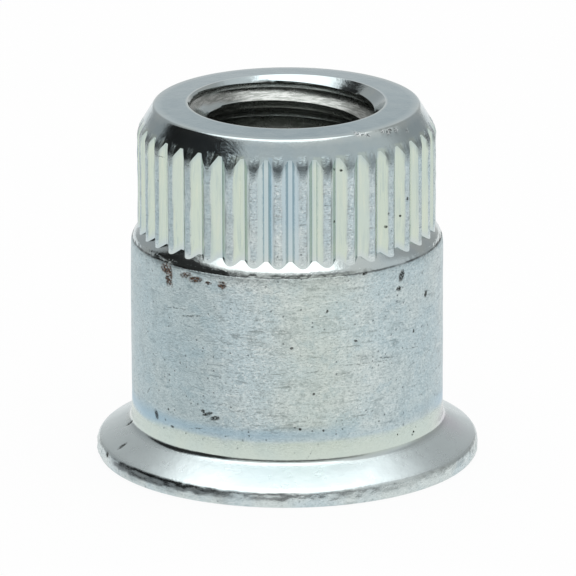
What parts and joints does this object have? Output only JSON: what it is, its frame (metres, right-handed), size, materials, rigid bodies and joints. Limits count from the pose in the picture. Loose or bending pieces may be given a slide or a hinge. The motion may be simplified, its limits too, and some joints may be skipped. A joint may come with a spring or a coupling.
{
  "type": "rivet nut",
  "caption": "Splined rivet nut of zinc-plated steel: a threaded nose, a plain body that crimps when the nut is set, and a coned flange.",
  "frame": {"origin": "centre of the flange's flat outer face, on which the nut stands", "axes": "+Z along the nut's axis, from the flange to the threaded nose"},
  "size_m": [0.016, 0.016, 0.015],
  "materials": {
    "zinc_plated_steel": "satin zinc plate with a faint blue and straw passivation"
  },
  "bodies": {
    "root": {"rivet_nut": "zinc_plated_steel"}
  },
  "joints": []
}
